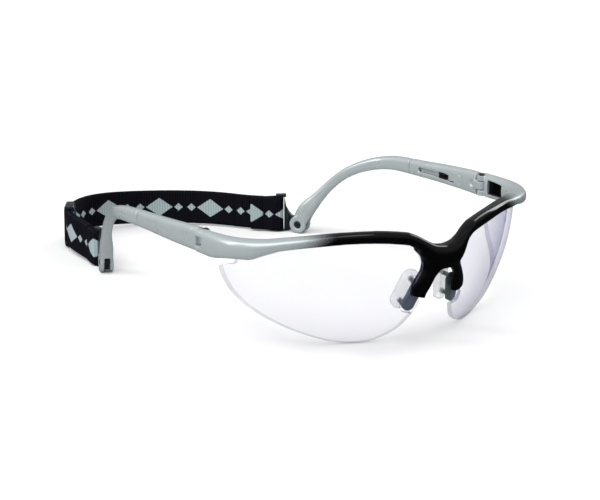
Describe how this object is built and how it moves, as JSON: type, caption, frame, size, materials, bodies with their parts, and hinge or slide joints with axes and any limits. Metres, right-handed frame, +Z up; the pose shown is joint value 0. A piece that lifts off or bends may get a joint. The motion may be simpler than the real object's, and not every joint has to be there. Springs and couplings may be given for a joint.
{
  "type": "sports protective goggles",
  "caption": "Wraparound sports goggles: half-rim front over curved clear lenses, tilting nose pads, folding temples of adjustable length, elastic head strap with slider.",
  "frame": {"origin": "under the middle of the goggles, on the table that the lens edges and temple tips stand on", "axes": "+X to the wearer's left, +Y from the front towards the back of the head, +Z up"},
  "size_m": [0.148, 0.2214, 0.0474],
  "materials": {
    "frame_moulding": "gloss black, fading to silver paint at the ends",
    "silver_moulding": "satin silver paint",
    "lens": "clear polycarbonate",
    "catch_moulding": "satin",
    "grey_moulding": "satin",
    "clear_silicone": "clear, soft",
    "steel": "polished",
    "clip_moulding": "satin",
    "webbing": "woven elastic"
  },
  "bodies": {
    "front": {"front_frame": "frame_moulding", "lens_left": "lens", "lens_right": "lens", "hinge_pin_left": "steel", "hinge_pin_right": "steel", "strap_side_left": "webbing", "strap_back": "webbing"},
    "temple_left": {"temple_sleeve_left": "silver_moulding"},
    "arm_left": {"temple_arm_left": "silver_moulding", "length_catch_left": "catch_moulding", "fork_pin_left": "clip_moulding", "strap_run_left": "webbing", "strap_tail_left": "webbing"},
    "clip_left": {"strap_clip_left": "clip_moulding", "strap_loop_left": "webbing"},
    "pad_left": {"nose_pad_holder_left": "grey_moulding", "nose_pad_left": "clear_silicone"},
    "temple_right": {"temple_sleeve_right": "silver_moulding"},
    "arm_right": {"temple_arm_right": "silver_moulding", "length_catch_right": "catch_moulding", "fork_pin_right": "clip_moulding", "strap_side_right": "webbing", "strap_return_side_right": "webbing", "strap_run_right": "webbing", "strap_return_run_right": "webbing"},
    "clip_right": {"strap_clip_right": "clip_moulding", "strap_loop_right": "webbing"},
    "pad_right": {"nose_pad_holder_right": "grey_moulding", "nose_pad_right": "clear_silicone"},
    "slider": {"strap_slider": "clip_moulding"}
  },
  "joints": [
    {"name": "temple_hinge_left", "type": "hinge", "parent": "front", "child": "temple_left", "pos_m": [0.0699, -0.04774, 0.0395], "axis": [0, 0, 1], "range_deg": [0, 88], "deforming": ["strap_run_left", "strap_tail_left", "strap_side_left", "strap_back", "strap_side_right", "strap_return_side_right", "strap_run_right", "strap_return_run_right"]},
    {"name": "temple_length_left", "type": "slide", "parent": "temple_left", "child": "arm_left", "axis": [0, 1, 0], "range_m": [0, 0.006]},
    {"name": "strap_clip_swing_left", "type": "hinge", "parent": "arm_left", "child": "clip_left", "pos_m": [0.0513, 0.05306, 0.0037], "axis": [0.9107, 0.4131, 0], "range_deg": [-15, 30]},
    {"name": "nose_pad_tilt_left", "type": "hinge", "parent": "front", "child": "pad_left", "pos_m": [0.0091, -0.10184, 0.0225], "axis": [0, 1, 0], "range_deg": [-8, 8]},
    {"name": "temple_hinge_right", "type": "hinge", "parent": "front", "child": "temple_right", "pos_m": [-0.0699, -0.04774, 0.0395], "axis": [0, 0, -1], "range_deg": [0, 76], "deforming": ["strap_run_left", "strap_tail_left", "strap_side_left", "strap_back", "strap_side_right", "strap_return_side_right", "strap_run_right", "strap_return_run_right"]},
    {"name": "temple_length_right", "type": "slide", "parent": "temple_right", "child": "arm_right", "axis": [0, 1, 0], "range_m": [0, 0.006]},
    {"name": "strap_clip_swing_right", "type": "hinge", "parent": "arm_right", "child": "clip_right", "pos_m": [-0.0513, 0.05306, 0.0037], "axis": [0.9107, -0.4131, 0], "range_deg": [-15, 30]},
    {"name": "nose_pad_tilt_right", "type": "hinge", "parent": "front", "child": "pad_right", "pos_m": [-0.0091, -0.10184, 0.0225], "axis": [0, 1, 0], "range_deg": [-8, 8]},
    {"name": "strap_slider_adjust", "type": "slide", "parent": "arm_right", "child": "slider", "axis": [-0.6181, -0.7861, 0], "range_m": [-0.003, 0.003]}
  ]
}
